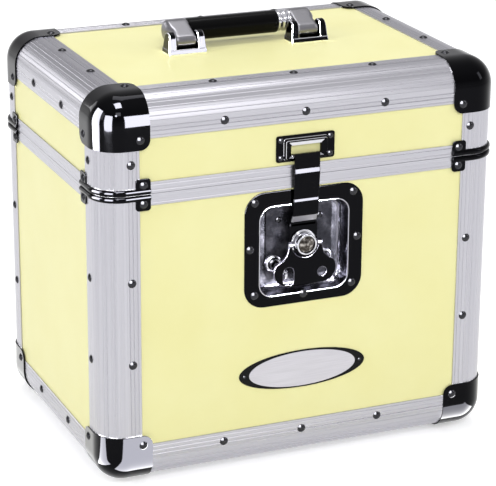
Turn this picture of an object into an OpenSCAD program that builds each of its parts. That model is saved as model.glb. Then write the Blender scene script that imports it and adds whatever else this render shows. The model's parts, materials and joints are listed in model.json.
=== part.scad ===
/* [Case] */
// Width over the side panels
case_w = 380; // [360:1:400]
// Depth over the front and back panels
case_d = 272; // [255:1:290]
// Height over the bottom and top panels
case_h = 353.6; // [345:1:360]
// Height of the split line above the underside of the bottom panel
split_h = 269; // [262:1:272]
// Thickness of the laminated plywood
ply = 9; // [7:0.5:10]
// Thickness of the foam lining
lining = 2.5; // [1.5:0.5:4]

/* [Edge extrusion] */
// Reach of each leg from the corner of the panel planes
leg = 35.5; // [33:0.5:38]
// How far the extrusion stands proud of the panels
proud = 1.2; // [1:0.1:1.6]
// Outer radius of the rounded edge
edge_r = 25; // [22:1:26]
// Height of each closing profile round the rim
rim_h = 10.6; // [9:0.2:12]

/* [Corners] */
// Reach of each face of a ball corner
corner_reach = 44.8; // [42:0.5:48]
// Sheet thickness of the ball corners
corner_t = 1.3; // [1:0.1:1.6]
// Height of the corner clamp's tab
clamp_tab_h = 12; // [10:0.5:13]

/* [Rivets] */
// Radius of a domed rivet head
rivet_r = 4; // [3:0.5:4.5]
// Height of a domed rivet head
rivet_h = 1.8; // [1.2:0.1:2.2]
// Pitch of the rivets along the front and back rails
rivet_pitch = 76.5; // [70:0.5:80]

/* [Latch] */
// Width of the recessed dish over its flange
dish_w = 114.6; // [110:0.2:118]
// Height of the recessed dish over its flange
dish_h = 107.4; // [104:0.2:110]
// Depth of the dish below the panel's face
dish_depth = 13; // [11:0.5:14]
// Width of the hook strap
strap_w = 24.3; // [22:0.1:26]
// Lift of the hook over half a turn of the wing
hook_lift = 8; // [6:0.5:8]

/* [Handle] */
// Distance from the middle of the case to the middle of a bracket
bracket_x = 60.5; // [58:0.5:64]
// Radius of the grip
grip_r = 10.4; // [9:0.1:11]
// Half length of the grip
grip_half = 38; // [36:0.5:39]

/* [Hidden] */
$fn = 48;
eps = 0.01;

foot_h = 4.5;
half_w = case_w / 2;
half_d = case_d / 2;
z_bottom = foot_h + proud;
z_top = z_bottom + case_h;
z_split = z_bottom + split_h;

// Edge extrusion
slot = edge_r - proud + 0.4;
rail_end = leg + 0.5;
flange_reach = leg - 1.5;
groove = 0.45;
groove_step = 9;

// Rim profiles
rim_gap = 0.1;
base_web = 6;
lid_web = 3;
tongue_h = 4;
tongue_v = 4;
tongue_t = 1.6;

// Ball corner and clamp
corner_round = 9;
corner_rivet = 36;
clamp_t = 1.2;
clamp_band_h = 5;
clamp_in = 31.5;
clamp_out = 45;
clamp_rivet_u = 38.6;
clamp_rivet_z = 8.4;

// Rivet rows
rail_rivet_in = 26.5;
side_rivet_y = 39;
post_rivet_z = [119, 195.2];
lid_post_rivet_z = 302;

// Latch
front_reach = 8;
hub_z = z_bottom + 205.9;
dish_z = z_bottom + 203.3;
pan_w = 84;
pan_h = 82;
pan_z = z_bottom + 201.2;
pan_r = 12;
sheet = 1;
pan_t = 1.2;
dish_round = 19;
hub_r = 8.4;
shaft_r = 5;
pivot_r = 4;
plate_t = 2;
plate_w = 64;
plate_h = 70;
plate_v = dish_depth - plate_t;
wing_v = -3;
wing_t = 2.4;
wing_pin_r = 1.5;
wing_drop = 25;
lobe_r = 13.2;
lobe_x = 17;
wing_slot_x = 16.2;
wing_slot_r = 5.1;
keeper_w = 56;
keeper_h = 24;
keeper_z = z_bottom + 294.6;
keeper_t = 1.2;
keeper_raise = 4;
strap_t = 2;

// Badge
badge_x = 0.3;
badge_z = z_bottom + 85.4;
badge_w = 124;
badge_h = 36;
badge_t = 0.8;
badge_rivet_x = 57;

// Hinge
knuckle_r = 3.2;
hinge_v = -(front_reach - knuckle_r);
hinge_x = 95;
hinge_w = 48;
leaf_h = 34;
leaf_t = 1.5;
hinge_pin_r = 1.5;
running = 0.05;

// Handle
pin_y = -2.5;
pin_z = 10.5;
grip_y = 21;
grip_z = 4.5;
bracket_d = 19;
bracket_w = 37;
bracket_top_w = 33;
bracket_h = 20;
window_w = 21;
bracket_base = 3.5;
ear_r = 9.5;
handle_pin_r = 2;
barrel_r = 5;
barrel_half = 10;
ferrule_r = 8.4;
ferrule_len = 13;

laminate = "#f6f2b5";
aluminium = "#c9c8cf";
chrome = "#8f9095";
rubber = "#202022";
foam = "#2b2b2d";

// ---------- placing ----------

// Puts a piece drawn at the corner of the panel planes, reaching inwards
// along +X and +Y, at the corner on side sx, sy
module at_corner(sx, sy) {
    translate([sx * half_w, sy * half_d, 0])
        mirror([sx > 0 ? 1 : 0, 0, 0])
            mirror([0, sy > 0 ? 1 : 0, 0])
                children();
}

// Turns a section drawn inwards along X and Y into a bar along X, on the
// front or back (sy) edge, and on the bottom or top edge
module bar_along_x(sy, length, z, upside_down) {
    translate([-length / 2, sy * half_d, z])
        mirror([0, sy > 0 ? 1 : 0, 0])
            mirror([0, 0, upside_down ? 1 : 0])
                rotate([90, 0, 90])
                    linear_extrude(length) children();
}

// The same along Y, on the left or right (sx) edge
module bar_along_y(sx, length, z, upside_down) {
    translate([sx * half_w, length / 2, z])
        mirror([sx > 0 ? 1 : 0, 0, 0])
            mirror([0, 0, upside_down ? 1 : 0])
                rotate([90, 0, 0])
                    linear_extrude(length) children();
}

// Turns a shape drawn in X and Y, thick along Z, to stand on the front
// panel: its X and Y run right and up, and its thickness runs out of the case
module on_front(v, z) {
    translate([0, -half_d + v, z]) rotate([90, 0, 0]) children();
}

module rounded_square(w, h, r) {
    square([w - 2 * r, h], center = true);
    square([w, h - 2 * r], center = true);
    for (sx = [-1, 1], sy = [-1, 1])
        translate([sx * (w / 2 - r), sy * (h / 2 - r)]) circle(r);
}

// ---------- edge extrusion ----------

// A quadrant of the plane whose corner lies outside the panel planes by
// "out" and is rounded by r
module quadrant(out, r, reach) {
    translate([r - out, -out]) square([reach, reach]);
    translate([-out, r - out]) square([reach, reach]);
    translate([r - out, r - out]) circle(r);
}

module edge_shell_section() {
    difference() {
        intersection() {
            difference() {
                quadrant(proud, edge_r, 60);
                quadrant(0, edge_r - proud, 80);
            }
            union() {
                translate([-proud, -proud]) square([leg + proud, slot + proud]);
                translate([-proud, -proud]) square([slot + proud, leg + proud]);
            }
        }
        // fine lengthwise grooves round the bend
        for (a = [groove_step : groove_step : 90 - groove_step])
            translate([edge_r - proud, edge_r - proud])
                rotate(180 + a) translate([edge_r, 0]) rotate(45) square(groove, center = true);
        // and two on each flat leg
        for (u = [slot + 1.5, leg - 2.5]) {
            translate([u, -proud]) rotate(45) square(groove, center = true);
            translate([-proud, u]) rotate(45) square(groove, center = true);
        }
    }
}

// The whole section: shell, the two webs that stop the panels, and the
// angle that closes the joint on the inside
module edge_section() {
    edge_shell_section();
    for (swap = [0, 1])
        mirror(swap ? [1, -1] : [0, 0]) {
            translate([slot - proud, -eps]) square([proud, ply + 2 * eps]);
            translate([ply, ply]) square([flange_reach - ply, proud]);
        }
}

module post(sx, sy, z0, z1) {
    color(aluminium) translate([0, 0, z0]) at_corner(sx, sy) linear_extrude(z1 - z0) edge_section();
}

module rail_x(sy, upside_down) {
    color(aluminium) bar_along_x(sy, case_w - 2 * rail_end, upside_down ? z_top : z_bottom, upside_down)
        edge_section();
}

module rail_y(sx, upside_down) {
    color(aluminium) bar_along_y(sx, case_d - 2 * rail_end, upside_down ? z_top : z_bottom, upside_down)
        edge_section();
}

// ---------- closing profiles ----------

// Both are drawn with the panel's outer face at x = 0 and the split at y = 0.
// The base profile hangs below it and has the groove
module base_rim_section() {
    difference() {
        translate([-proud, -rim_h]) square([ply + 2 * proud, rim_h - rim_gap]);
        translate([0, -rim_h - 1]) square([ply, rim_h - base_web + 1]);
        translate([tongue_v - 1, -tongue_h - 0.4]) square([tongue_t + 2.2, tongue_h + 1]);
        translate([-proud, -rim_h + 2.6]) rotate(45) square(groove * 1.4, center = true);
    }
}

// The lid profile stands above it and has the tongue
module lid_rim_section() {
    difference() {
        translate([-proud, rim_gap]) square([ply + 2 * proud, rim_h - rim_gap]);
        translate([0, lid_web]) square([ply, rim_h]);
        translate([-proud, rim_h - 2.6]) rotate(45) square(groove * 1.4, center = true);
        translate([-proud, lid_web]) rotate(45) square(groove * 1.4, center = true);
    }
    translate([tongue_v, -tongue_h]) square([tongue_t, tongue_h + lid_web]);
}

module rim_x(sy) {
    color(aluminium) bar_along_x(sy, case_w - 2 * (leg + 0.1), z_split, false) children();
}

module rim_y(sx) {
    color(aluminium) bar_along_y(sx, case_d - 2 * (leg + 0.1), z_split, false) children();
}

// ---------- panels ----------

// A panel of the base or lid wall, from z0 to z1, on the front or back
module wall_x(sy, z0, z1) {
    w = case_w - 2 * slot;
    translate([-w / 2, sy > 0 ? half_d - ply : -half_d, z0]) cube([w, ply, z1 - z0]);
}

module wall_y(sx, z0, z1) {
    d = case_d - 2 * slot;
    translate([sx > 0 ? half_w - ply : -half_w, -d / 2, z0]) cube([ply, d, z1 - z0]);
}

base_wall_z = [z_bottom + slot, z_split - base_web];
lid_wall_z = [z_split + lid_web, z_top - slot];

module base_front_panel() {
    color(laminate) difference() {
        wall_x(-1, base_wall_z[0], base_wall_z[1]);
        on_front(ply + 1, pan_z) linear_extrude(ply + 2)
            rounded_square(pan_w + 2 * pan_t + 0.6, pan_h + 2 * pan_t + 0.6, pan_r + pan_t + 0.3);
    }
}

module base_wall(side) {
    color(laminate) {
        if (side == "back") wall_x(1, base_wall_z[0], base_wall_z[1]);
        if (side == "left") wall_y(-1, base_wall_z[0], base_wall_z[1]);
        if (side == "right") wall_y(1, base_wall_z[0], base_wall_z[1]);
    }
}

module lid_wall(side) {
    color(laminate) {
        if (side == "front") wall_x(-1, lid_wall_z[0], lid_wall_z[1]);
        if (side == "back") wall_x(1, lid_wall_z[0], lid_wall_z[1]);
        if (side == "left") wall_y(-1, lid_wall_z[0], lid_wall_z[1]);
        if (side == "right") wall_y(1, lid_wall_z[0], lid_wall_z[1]);
    }
}

module flat_panel(z) {
    w = case_w - 2 * slot;
    d = case_d - 2 * slot;
    color(laminate) translate([-w / 2, -d / 2, z]) cube([w, d, ply]);
}

// ---------- lining ----------

// An open foam tray against the inner flanges, from z0 to z1, closed at
// the bottom or at the top
module lining_tray(z0, z1, floor_up) {
    off = ply + proud;
    w = case_w - 2 * off;
    d = case_d - 2 * off;
    inner_z0 = floor_up ? z0 - 1 : z0 + lining;
    inner_z1 = floor_up ? z1 - lining : z1 + 1;
    difference() {
        translate([-w / 2, -d / 2, z0]) cube([w, d, z1 - z0]);
        translate([-w / 2 + lining, -d / 2 + lining, inner_z0])
            cube([w - 2 * lining, d - 2 * lining, inner_z1 - inner_z0]);
    }
}

module base_lining() {
    color(foam) difference() {
        lining_tray(z_bottom + ply + proud, z_split - 1, false);
        on_front(dish_depth + 10, pan_z) linear_extrude(20)
            rounded_square(pan_w + 2 * pan_t + 4, pan_h + 2 * pan_t + 4, pan_r);
    }
}

module lid_lining() {
    color(foam) lining_tray(z_split + 1, z_top - ply - proud, true);
}

// ---------- ball corners and clamps ----------

// A solid box corner at the origin, reaching along +X, +Y and +Z, whose
// faces lie "out" beyond the panel planes and whose edges are rounded by r
module round_corner(out, r, reach) {
    c = r - out;
    translate([c, c, c]) sphere(r);
    translate([c, c, c]) cylinder(r = r, h = reach);
    translate([c, c, c]) rotate([0, 90, 0]) cylinder(r = r, h = reach);
    translate([c, c, c]) rotate([-90, 0, 0]) cylinder(r = r, h = reach);
    translate([-out, c, c]) cube(reach);
    translate([c, -out, c]) cube(reach);
    translate([c, c, -out]) cube(reach);
}

// The square with one round corner that bounds a ball corner on a face
module corner_outline() {
    s = corner_reach;
    r = corner_round;
    translate([-9, -9]) square([s + 9 - r, s + 9]);
    translate([-9, -9]) square([s + 9, s + 9 - r]);
    translate([s - r, s - r]) circle(r);
}

module ball_corner() {
    intersection() {
        difference() {
            round_corner(proud + corner_t, edge_r + corner_t, 60);
            round_corner(proud, edge_r, 80);
        }
        translate([0, 0, -9]) linear_extrude(corner_reach + 9) corner_outline();
        translate([-9, 0, 0]) rotate([90, 0, 90]) linear_extrude(corner_reach + 9) corner_outline();
        translate([0, corner_reach, 0]) rotate([90, 0, 0]) linear_extrude(corner_reach + 9) corner_outline();
    }
}

module ball_corners(top) {
    color(chrome)
        for (sx = [-1, 1], sy = [-1, 1])
            translate([0, 0, top ? z_top : z_bottom])
                mirror([0, 0, top ? 1 : 0])
                    at_corner(sx, sy) ball_corner();
}

module clamp_section(inner, outer) {
    intersection() {
        difference() {
            quadrant(proud + clamp_t, edge_r + clamp_t, 60);
            quadrant(proud, edge_r, 80);
        }
        difference() {
            translate([-9, -9]) square(outer + 9);
            if (inner > 0) translate([-10, -10]) square(inner + 10);
        }
    }
}

// One band round the post with a tab at each end, drawn above z = 0
module corner_clamp() {
    translate([0, 0, 0.3]) linear_extrude(clamp_band_h) clamp_section(0, clamp_out);
    translate([0, 0, 2.4]) linear_extrude(clamp_tab_h) clamp_section(clamp_in, clamp_out);
}

module clamps(top) {
    color(chrome)
        for (sx = [-1, 1], sy = [-1, 1])
            translate([0, 0, z_split])
                mirror([0, 0, top ? 0 : 1])
                    at_corner(sx, sy) corner_clamp();
}

// ---------- rivets ----------

// A domed head standing on z = 0
module rivet(r, h) {
    ball = (r * r + h * h) / (2 * h);
    intersection() {
        translate([0, 0, h - ball]) sphere(ball);
        cylinder(r = r + 1, h = h + 1);
    }
}

// A head on the front or back face (sy) at x, z, standing "out" from the panel
module rivet_y(sy, x, z, out) {
    translate([x, sy * (half_d + out), z]) rotate([sy > 0 ? -90 : 90, 0, 0]) rivet(rivet_r, rivet_h);
}

module rivet_x(sx, y, z, out) {
    translate([sx * (half_w + out), y, z]) rotate([0, sx * 90, 0]) rivet(rivet_r, rivet_h);
}

module rivet_z(x, y, top, out) {
    translate([x, y, top ? z_top + out : z_bottom - out])
        rotate([top ? 0 : 180, 0, 0]) rivet(rivet_r, rivet_h);
}

// Rivets of the four rails, four ball corners and four clamps of the base or lid
module frame_rivets(top) {
    rail_z = top ? z_top - rail_rivet_in : z_bottom + rail_rivet_in;
    corner_z = top ? z_top - corner_rivet : z_bottom + corner_rivet;
    clamp_z = top ? z_split + clamp_rivet_z : z_split - clamp_rivet_z;
    on_corner = proud + corner_t;
    on_clamp = proud + clamp_t;
    for (side = [-1, 1]) {
        for (k = [-1 : 1]) {
            rivet_y(side, k * rivet_pitch, rail_z, proud);
            if (top) rivet_z(k * rivet_pitch, side * (half_d - rail_rivet_in), top, proud);
        }
        for (k = [-1, 1]) {
            rivet_x(side, k * side_rivet_y, rail_z, proud);
            if (top) rivet_z(side * (half_w - rail_rivet_in), k * side_rivet_y, top, proud);
        }
        for (other = [-1, 1]) {
            rivet_y(side, other * (half_w - corner_rivet), corner_z, on_corner);
            rivet_x(side, other * (half_d - corner_rivet), corner_z, on_corner);
            rivet_z(other * (half_w - corner_rivet), side * (half_d - corner_rivet), top, on_corner);
            rivet_y(side, other * (half_w - clamp_rivet_u), clamp_z, on_clamp);
            rivet_x(side, other * (half_d - clamp_rivet_u), clamp_z, on_clamp);
        }
    }
}

module post_rivets(heights) {
    for (side = [-1, 1], other = [-1, 1], z = heights) {
        rivet_y(side, other * (half_w - rail_rivet_in - 1), z, proud);
        rivet_x(side, other * (half_d - rail_rivet_in - 1), z, proud);
    }
}

module base_rivets() {
    color(chrome) {
        frame_rivets(false);
        post_rivets(post_rivet_z);
    }
}

module lid_rivets() {
    color(chrome) {
        frame_rivets(true);
        post_rivets([lid_post_rivet_z]);
    }
}

module rubber_feet() {
    color(rubber)
        for (sx = [-1, 1], sy = [-1, 1])
            translate([sx * (half_w - 55), sy * (half_d - 50), 0])
                cylinder(r1 = 10, r2 = 12, h = z_bottom);
}

// ---------- latch ----------

module latch_dish() {
    color(chrome) {
        // flange on the face of the panel
        on_front(0, dish_z) linear_extrude(sheet) difference() {
            rounded_square(dish_w, dish_h, dish_round);
            translate([0, pan_z - dish_z]) rounded_square(pan_w, pan_h, pan_r);
        }
        // drawn pan behind it
        difference() {
            on_front(dish_depth + pan_t, pan_z) linear_extrude(dish_depth + pan_t)
                rounded_square(pan_w + 2 * pan_t, pan_h + 2 * pan_t, pan_r + pan_t);
            on_front(dish_depth, pan_z) linear_extrude(dish_depth + 1) rounded_square(pan_w, pan_h, pan_r);
        }
    }
}

module latch_plate() {
    color(chrome) {
        difference() {
            on_front(dish_depth, hub_z) linear_extrude(plate_t) rounded_square(plate_w, plate_h, 6);
            on_front(dish_depth + 1, hub_z) cylinder(r = pivot_r + running, h = 6);
        }
        // two low bosses that the wing lies over, and four small rivets
        for (sx = [-1, 1]) {
            on_front(plate_v, hub_z - 20) translate([sx * 25, 0, 0]) {
                cylinder(r = 6.5, h = 2.5);
                translate([0, 0, 2.5]) rivet(5, 1.6);
            }
            on_front(plate_v, hub_z + 20) translate([sx * 20, 0, 0]) rivet(3, 1.4);
        }
    }
}

// A flat loop of steel standing on the plate behind the slot of the wing
module padlock_staple() {
    color(chrome) translate([-17 - 1.25, 0, 0])
        translate([0, -half_d, hub_z - 29]) rotate([90, 0, 90])
            linear_extrude(2.5) difference() {
                union() {
                    translate([4, 0]) circle(5.4);
                    translate([4, -5.4]) square([plate_v - 4, 10.8]);
                }
                translate([4, 0]) circle(2.8);
            }
}

module dish_rivets() {
    top = z_bottom + 248.3;
    low = z_bottom + 162;
    mid = z_bottom + 205.5;
    spots = [[-47.5, top], [47.5, top], [-52, mid], [52, mid], [-47.5, low], [47.5, low], [0, low - 4.2]];
    color(chrome) for (s = spots) rivet_y(-1, s[0], s[1], sheet);
}

// Shaft, flange and domed cap in one piece, turning about Y
module latch_hub() {
    color(chrome) difference() {
        union() {
            on_front(dish_depth - 2.3, hub_z) cylinder(r = shaft_r, h = dish_depth - 2);
            on_front(dish_depth - 0.3, hub_z) cylinder(r = pivot_r, h = 3);
            on_front(-0.2, hub_z) cylinder(r = hub_r, h = front_reach - 2.2);
            on_front(-front_reach + 2, hub_z) rivet(hub_r, 2);
            translate([-10.6, -half_d + wing_v, hub_z]) rotate([0, 90, 0]) cylinder(r = 2.6, h = 21.2);
        }
        translate([-20, -half_d + wing_v, hub_z]) rotate([0, 90, 0])
            cylinder(r = wing_pin_r + 0.02, h = 40);
    }
}

module wing_pin() {
    color(chrome) translate([-16.5, -half_d + wing_v, hub_z]) rotate([0, 90, 0])
        cylinder(r = wing_pin_r, h = 33);
}

// The bell-shaped wing: two knuckles on the pin, shoulders and two lobes
module wing_outline() {
    difference() {
        union() {
            polygon([[-15.4, -2], [15.4, -2], [20, -8], [lobe_x + lobe_r - 1.2, -wing_drop + 4],
                [-lobe_x - lobe_r + 1.2, -wing_drop + 4], [-20, -8]]);
            for (sx = [-1, 1]) translate([sx * lobe_x, -wing_drop]) circle(lobe_r);
            translate([-lobe_x, -wing_drop - lobe_r]) square([2 * lobe_x, lobe_r + 6]);
        }
        translate([0, 0.4]) circle(13);
        // padlock slot on one lobe and a round hole in the other
        for (dz = [-4, 4]) translate([-wing_slot_x, -29.5 + dz]) circle(wing_slot_r);
        translate([-wing_slot_x - wing_slot_r, -33.5]) square([2 * wing_slot_r, 8]);
        translate([16.5, -28]) circle(4.3);
    }
}

module latch_wing() {
    color(chrome) difference() {
        union() {
            on_front(wing_v + wing_t / 2, hub_z) linear_extrude(wing_t) wing_outline();
            for (sx = [-1, 1])
                translate([sx * 13.7 - 2.3, -half_d + wing_v, hub_z]) rotate([0, 90, 0])
                    cylinder(r = 2.8, h = 4.6);
        }
        translate([-20, -half_d + wing_v, hub_z]) rotate([0, 90, 0])
            cylinder(r = wing_pin_r + running, h = 40);
    }
}

// The strap's side view: y runs out of the case from the panel's face and z
// up from the hub; it steps out over the dish flange and the closing profiles
function strap_path() = [[-1.5, -9], [-1.5, 19], [2.6, 27], [3.4, 42], [5.3, 66], [5.3, 84.4]];

module strap_side() {
    p = strap_path();
    n = len(p);
    half = strap_t / 2;
    polygon(concat(
        [for (i = [0 : n - 1]) [p[i][0] - half, p[i][1]]],
        [for (i = [n - 1 : -1 : 0]) [p[i][0] + half, p[i][1]]]));
}

module latch_hook() {
    color(chrome) difference() {
        union() {
            translate([-strap_w / 2, -half_d, hub_z]) rotate([90, 0, 90])
                linear_extrude(strap_w) mirror([1, 0]) strap_side();
        }
        // slot for the hub's shaft, as long as the lift
        on_front(4, hub_z) linear_extrude(6) {
            circle(shaft_r + 0.3);
            translate([0, -hook_lift]) circle(shaft_r + 0.3);
            translate([-shaft_r - 0.3, -hook_lift - 8]) square([2 * shaft_r + 0.6, hook_lift + 8]);
        }
    }
}

module keeper() {
    color(chrome) difference() {
        union() {
            on_front(0, keeper_z) linear_extrude(keeper_t) rounded_square(keeper_w, keeper_h, 1.5);
            on_front(0, keeper_z - 0.8) linear_extrude(keeper_raise) rounded_square(39, 17, 2);
        }
        on_front(1, keeper_z - 1.5) linear_extrude(keeper_raise + 2) rounded_square(28.4, 8.2, 1);
    }
}

module keeper_rivets() {
    color(chrome)
        for (sx = [-1, 1], sz = [-1, 1])
            translate([sx * 23.6, -half_d - keeper_t, keeper_z + sz * 8])
                rotate([90, 0, 0]) rivet(3, 1.6);
}

// ---------- badge ----------

function ellipse(w, h, n) = [for (i = [0 : n - 1]) [w / 2 * cos(360 * i / n), h / 2 * sin(360 * i / n)]];

module badge_plate() {
    color(rubber) on_front(0, badge_z) translate([badge_x, 0, 0])
        linear_extrude(badge_t) polygon(ellipse(badge_w, badge_h, 60));
}

module badge_rivets() {
    color(chrome)
        for (sx = [-1, 1])
            translate([badge_x + sx * badge_rivet_x, -half_d - badge_t, badge_z])
                rotate([90, 0, 0]) rivet(1.8, 1);
}

// ---------- hinges ----------

// A leaf drawn upwards from the split: it stands on the closing profile and
// is packed out to the panel above that
module leaf_side(clear) {
    translate([proud, clear]) square([leaf_t, leaf_h - clear]);
    translate([0, rim_h + 0.2]) square([proud + leaf_t, leaf_h - rim_h - 0.2]);
}

// Knuckles between x0 and x1 with the leg that joins them to the leaf
module knuckle(x0, x1) {
    translate([x0, 0, 0]) rotate([90, 0, 90]) linear_extrude(x1 - x0) difference() {
        union() {
            translate([-hinge_v, 0]) circle(knuckle_r);
            translate([proud, 0.6]) square([2.6, 5]);
        }
        translate([-hinge_v, 0]) circle(hinge_pin_r + running);
        translate([proud - 5, -4]) square([5, 12]);
    }
}

module hinge_leaf(is_lid) {
    mirror([0, 0, is_lid ? 0 : 1]) {
        rotate([90, 0, 90]) translate([0, 0, -hinge_w / 2])
            linear_extrude(hinge_w) leaf_side(knuckle_r + 0.8);
        if (is_lid) knuckle(-8, 8);
        else for (s = [-1, 1]) knuckle(s > 0 ? 8.2 : -hinge_w / 2, s > 0 ? hinge_w / 2 : -8.2);
    }
}

module hinge_leaves(is_lid) {
    color(chrome)
        for (sx = [-1, 1])
            translate([sx * hinge_x, half_d, z_split]) hinge_leaf(is_lid);
}

module hinge_pins() {
    color(chrome)
        for (sx = [-1, 1])
            translate([sx * hinge_x - hinge_w / 2, half_d - hinge_v, z_split])
                rotate([0, 90, 0]) cylinder(r = hinge_pin_r, h = hinge_w);
}

// ---------- handle ----------

// One bracket standing on the top panel, with its middle at the origin:
// a foot plate and two round-topped ears that carry the pin
module bracket() {
    difference() {
        intersection() {
            union() {
                translate([-bracket_w / 2, pin_y - bracket_d / 2, 0]) cube([bracket_w, bracket_d, bracket_base]);
                for (sx = [-1, 1])
                    translate([sx > 0 ? window_w / 2 : -bracket_w / 2, 0, 0])
                        rotate([90, 0, 90]) linear_extrude((bracket_w - window_w) / 2) {
                            translate([pin_y - bracket_d / 2, 0]) square([bracket_d, pin_z - 1]);
                            translate([pin_y, pin_z]) circle(ear_r);
                        }
            }
            translate([0, 20, 0]) rotate([90, 0, 0]) linear_extrude(40)
                polygon([[-bracket_w / 2, 0], [bracket_w / 2, 0],
                    [bracket_top_w / 2, bracket_h + 1], [-bracket_top_w / 2, bracket_h + 1]]);
        }
        translate([-bracket_w, pin_y, pin_z]) rotate([0, 90, 0])
            cylinder(r = handle_pin_r + 0.02, h = 2 * bracket_w);
    }
}

module handle_brackets() {
    color(chrome) for (sx = [-1, 1]) translate([sx * bracket_x, 0, z_top]) bracket();
}

module bracket_screws() {
    color(chrome)
        for (sx = [-1, 1], dy = [-6, 6])
            translate([sx * bracket_x, pin_y + dy, z_top + bracket_base]) rivet(3, 1);
}

module handle_pins() {
    color(chrome)
        for (sx = [-1, 1])
            translate([sx * bracket_x - 16.4, pin_y, z_top + pin_z]) rotate([0, 90, 0])
                cylinder(r = handle_pin_r, h = 32.8);
}

// The cast end: a barrel on the pin that flares into the ferrule of the grip
module end_cap() {
    disc = grip_half + ferrule_len;
    difference() {
        union() {
            hull() {
                translate([bracket_x - barrel_half, 0, 0]) rotate([0, 90, 0])
                    cylinder(r = barrel_r, h = 2 * barrel_half, $fn = 32);
                translate([disc - 6, grip_y, grip_z]) rotate([0, 90, 0])
                    cylinder(r = ferrule_r, h = 6, $fn = 32);
            }
            translate([grip_half, grip_y, grip_z]) rotate([0, 90, 0])
                cylinder(r = ferrule_r, h = ferrule_len);
        }
        // room for the inner ear of the bracket
        rotate([0, 90, 0]) cylinder(r = ear_r + 1.2, h = bracket_x - window_w / 2 + 0.3);
        rotate([0, 90, 0]) cylinder(r = handle_pin_r + running, h = 100);
    }
}

module handle_end_caps() {
    color(chrome) translate([0, pin_y, z_top + pin_z])
        for (s = [0, 1]) mirror([s, 0, 0]) end_cap();
}

module handle_grip() {
    color(rubber) translate([-grip_half, pin_y + grip_y, z_top + pin_z + grip_z])
        rotate([0, 90, 0]) cylinder(r = grip_r, h = 2 * grip_half);
}

// ---------- nodes ----------

base_front_panel();
base_wall("back");  // base_back_panel
base_wall("left");  // base_left_panel
base_wall("right");  // base_right_panel
flat_panel(z_bottom);  // base_bottom_panel
post(-1, -1, z_bottom + rail_end, z_split - rim_gap);  // base_post_front_left
post(1, -1, z_bottom + rail_end, z_split - rim_gap);  // base_post_front_right
post(-1, 1, z_bottom + rail_end, z_split - rim_gap);  // base_post_back_left
post(1, 1, z_bottom + rail_end, z_split - rim_gap);  // base_post_back_right
rail_x(-1, false);  // base_rail_front
rail_x(1, false);  // base_rail_back
rail_y(-1, false);  // base_rail_left
rail_y(1, false);  // base_rail_right
rim_x(-1) base_rim_section();  // base_rim_front
rim_x(1) base_rim_section();  // base_rim_back
rim_y(-1) base_rim_section();  // base_rim_left
rim_y(1) base_rim_section();  // base_rim_right
ball_corners(false);  // base_ball_corners
clamps(false);  // base_clamps
base_rivets();
base_lining();
rubber_feet();
latch_dish();
latch_plate();
padlock_staple();
dish_rivets();
badge_plate();
badge_rivets();
hinge_leaves(false);  // hinge_base_leaves
flat_panel(z_top - ply);  // lid_top_panel
lid_wall("front");  // lid_front_panel
lid_wall("back");  // lid_back_panel
lid_wall("left");  // lid_left_panel
lid_wall("right");  // lid_right_panel
rail_x(-1, true);  // lid_rail_front
rail_x(1, true);  // lid_rail_back
rail_y(-1, true);  // lid_rail_left
rail_y(1, true);  // lid_rail_right
for (sx = [-1, 1], sy = [-1, 1]) post(sx, sy, z_split + rim_gap, z_top - rail_end);  // lid_posts
rim_x(-1) lid_rim_section();  // lid_rim_front
rim_x(1) lid_rim_section();  // lid_rim_back
rim_y(-1) lid_rim_section();  // lid_rim_left
rim_y(1) lid_rim_section();  // lid_rim_right
ball_corners(true);  // lid_ball_corners
clamps(true);  // lid_clamps
lid_rivets();
lid_lining();
keeper();
keeper_rivets();
hinge_leaves(true);  // hinge_lid_leaves
hinge_pins();
handle_brackets();
bracket_screws();
handle_pins();
handle_end_caps();
handle_grip();
latch_hub();
wing_pin();
latch_wing();
latch_hook();
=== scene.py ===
import json
import math

import bmesh
import bpy
import numpy as np
from mathutils import Matrix, Vector

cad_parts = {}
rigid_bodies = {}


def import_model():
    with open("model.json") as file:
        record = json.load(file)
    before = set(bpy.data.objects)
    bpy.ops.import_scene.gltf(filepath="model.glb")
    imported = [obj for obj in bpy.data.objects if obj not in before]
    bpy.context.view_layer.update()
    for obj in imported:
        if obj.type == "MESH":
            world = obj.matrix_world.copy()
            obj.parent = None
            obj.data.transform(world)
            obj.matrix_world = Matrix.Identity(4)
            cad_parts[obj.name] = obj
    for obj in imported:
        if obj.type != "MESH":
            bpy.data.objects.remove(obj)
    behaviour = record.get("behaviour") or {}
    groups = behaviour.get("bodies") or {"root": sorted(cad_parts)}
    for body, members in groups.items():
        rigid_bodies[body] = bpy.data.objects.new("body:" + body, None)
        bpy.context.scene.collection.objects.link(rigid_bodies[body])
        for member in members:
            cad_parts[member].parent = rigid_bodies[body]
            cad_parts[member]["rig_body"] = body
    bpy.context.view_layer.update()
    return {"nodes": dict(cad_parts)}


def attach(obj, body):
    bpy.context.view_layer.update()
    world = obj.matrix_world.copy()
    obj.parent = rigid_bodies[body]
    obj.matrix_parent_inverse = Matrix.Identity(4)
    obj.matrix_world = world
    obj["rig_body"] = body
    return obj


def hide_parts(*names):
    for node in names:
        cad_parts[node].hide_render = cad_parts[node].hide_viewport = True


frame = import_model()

scene = bpy.context.scene
MM = 0.001

# ---------------------------------------------------------------- sizes, mm

HALF_W, HALF_D = 190.0, 136.0               # the upright panels' outer planes
Z_LOW, Z_TOP, Z_SPLIT = 5.7, 359.3, 274.7   # the bottom and top panels' outer planes, and the split
EDGE_R, PROUD, LEG = 25.0, 1.2, 35.5        # an extrusion's outer radius, how far it stands out, its reach
PLY = 9.0                                   # thickness of the panels
HUB_Z, PAN_Z, DISH_Z = 211.6, 206.9, 209.0  # middles of the hub, of the dish's hollow and of its flange
DISH_DEPTH = 13.0


# ---------------------------------------------------------------- materials

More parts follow.
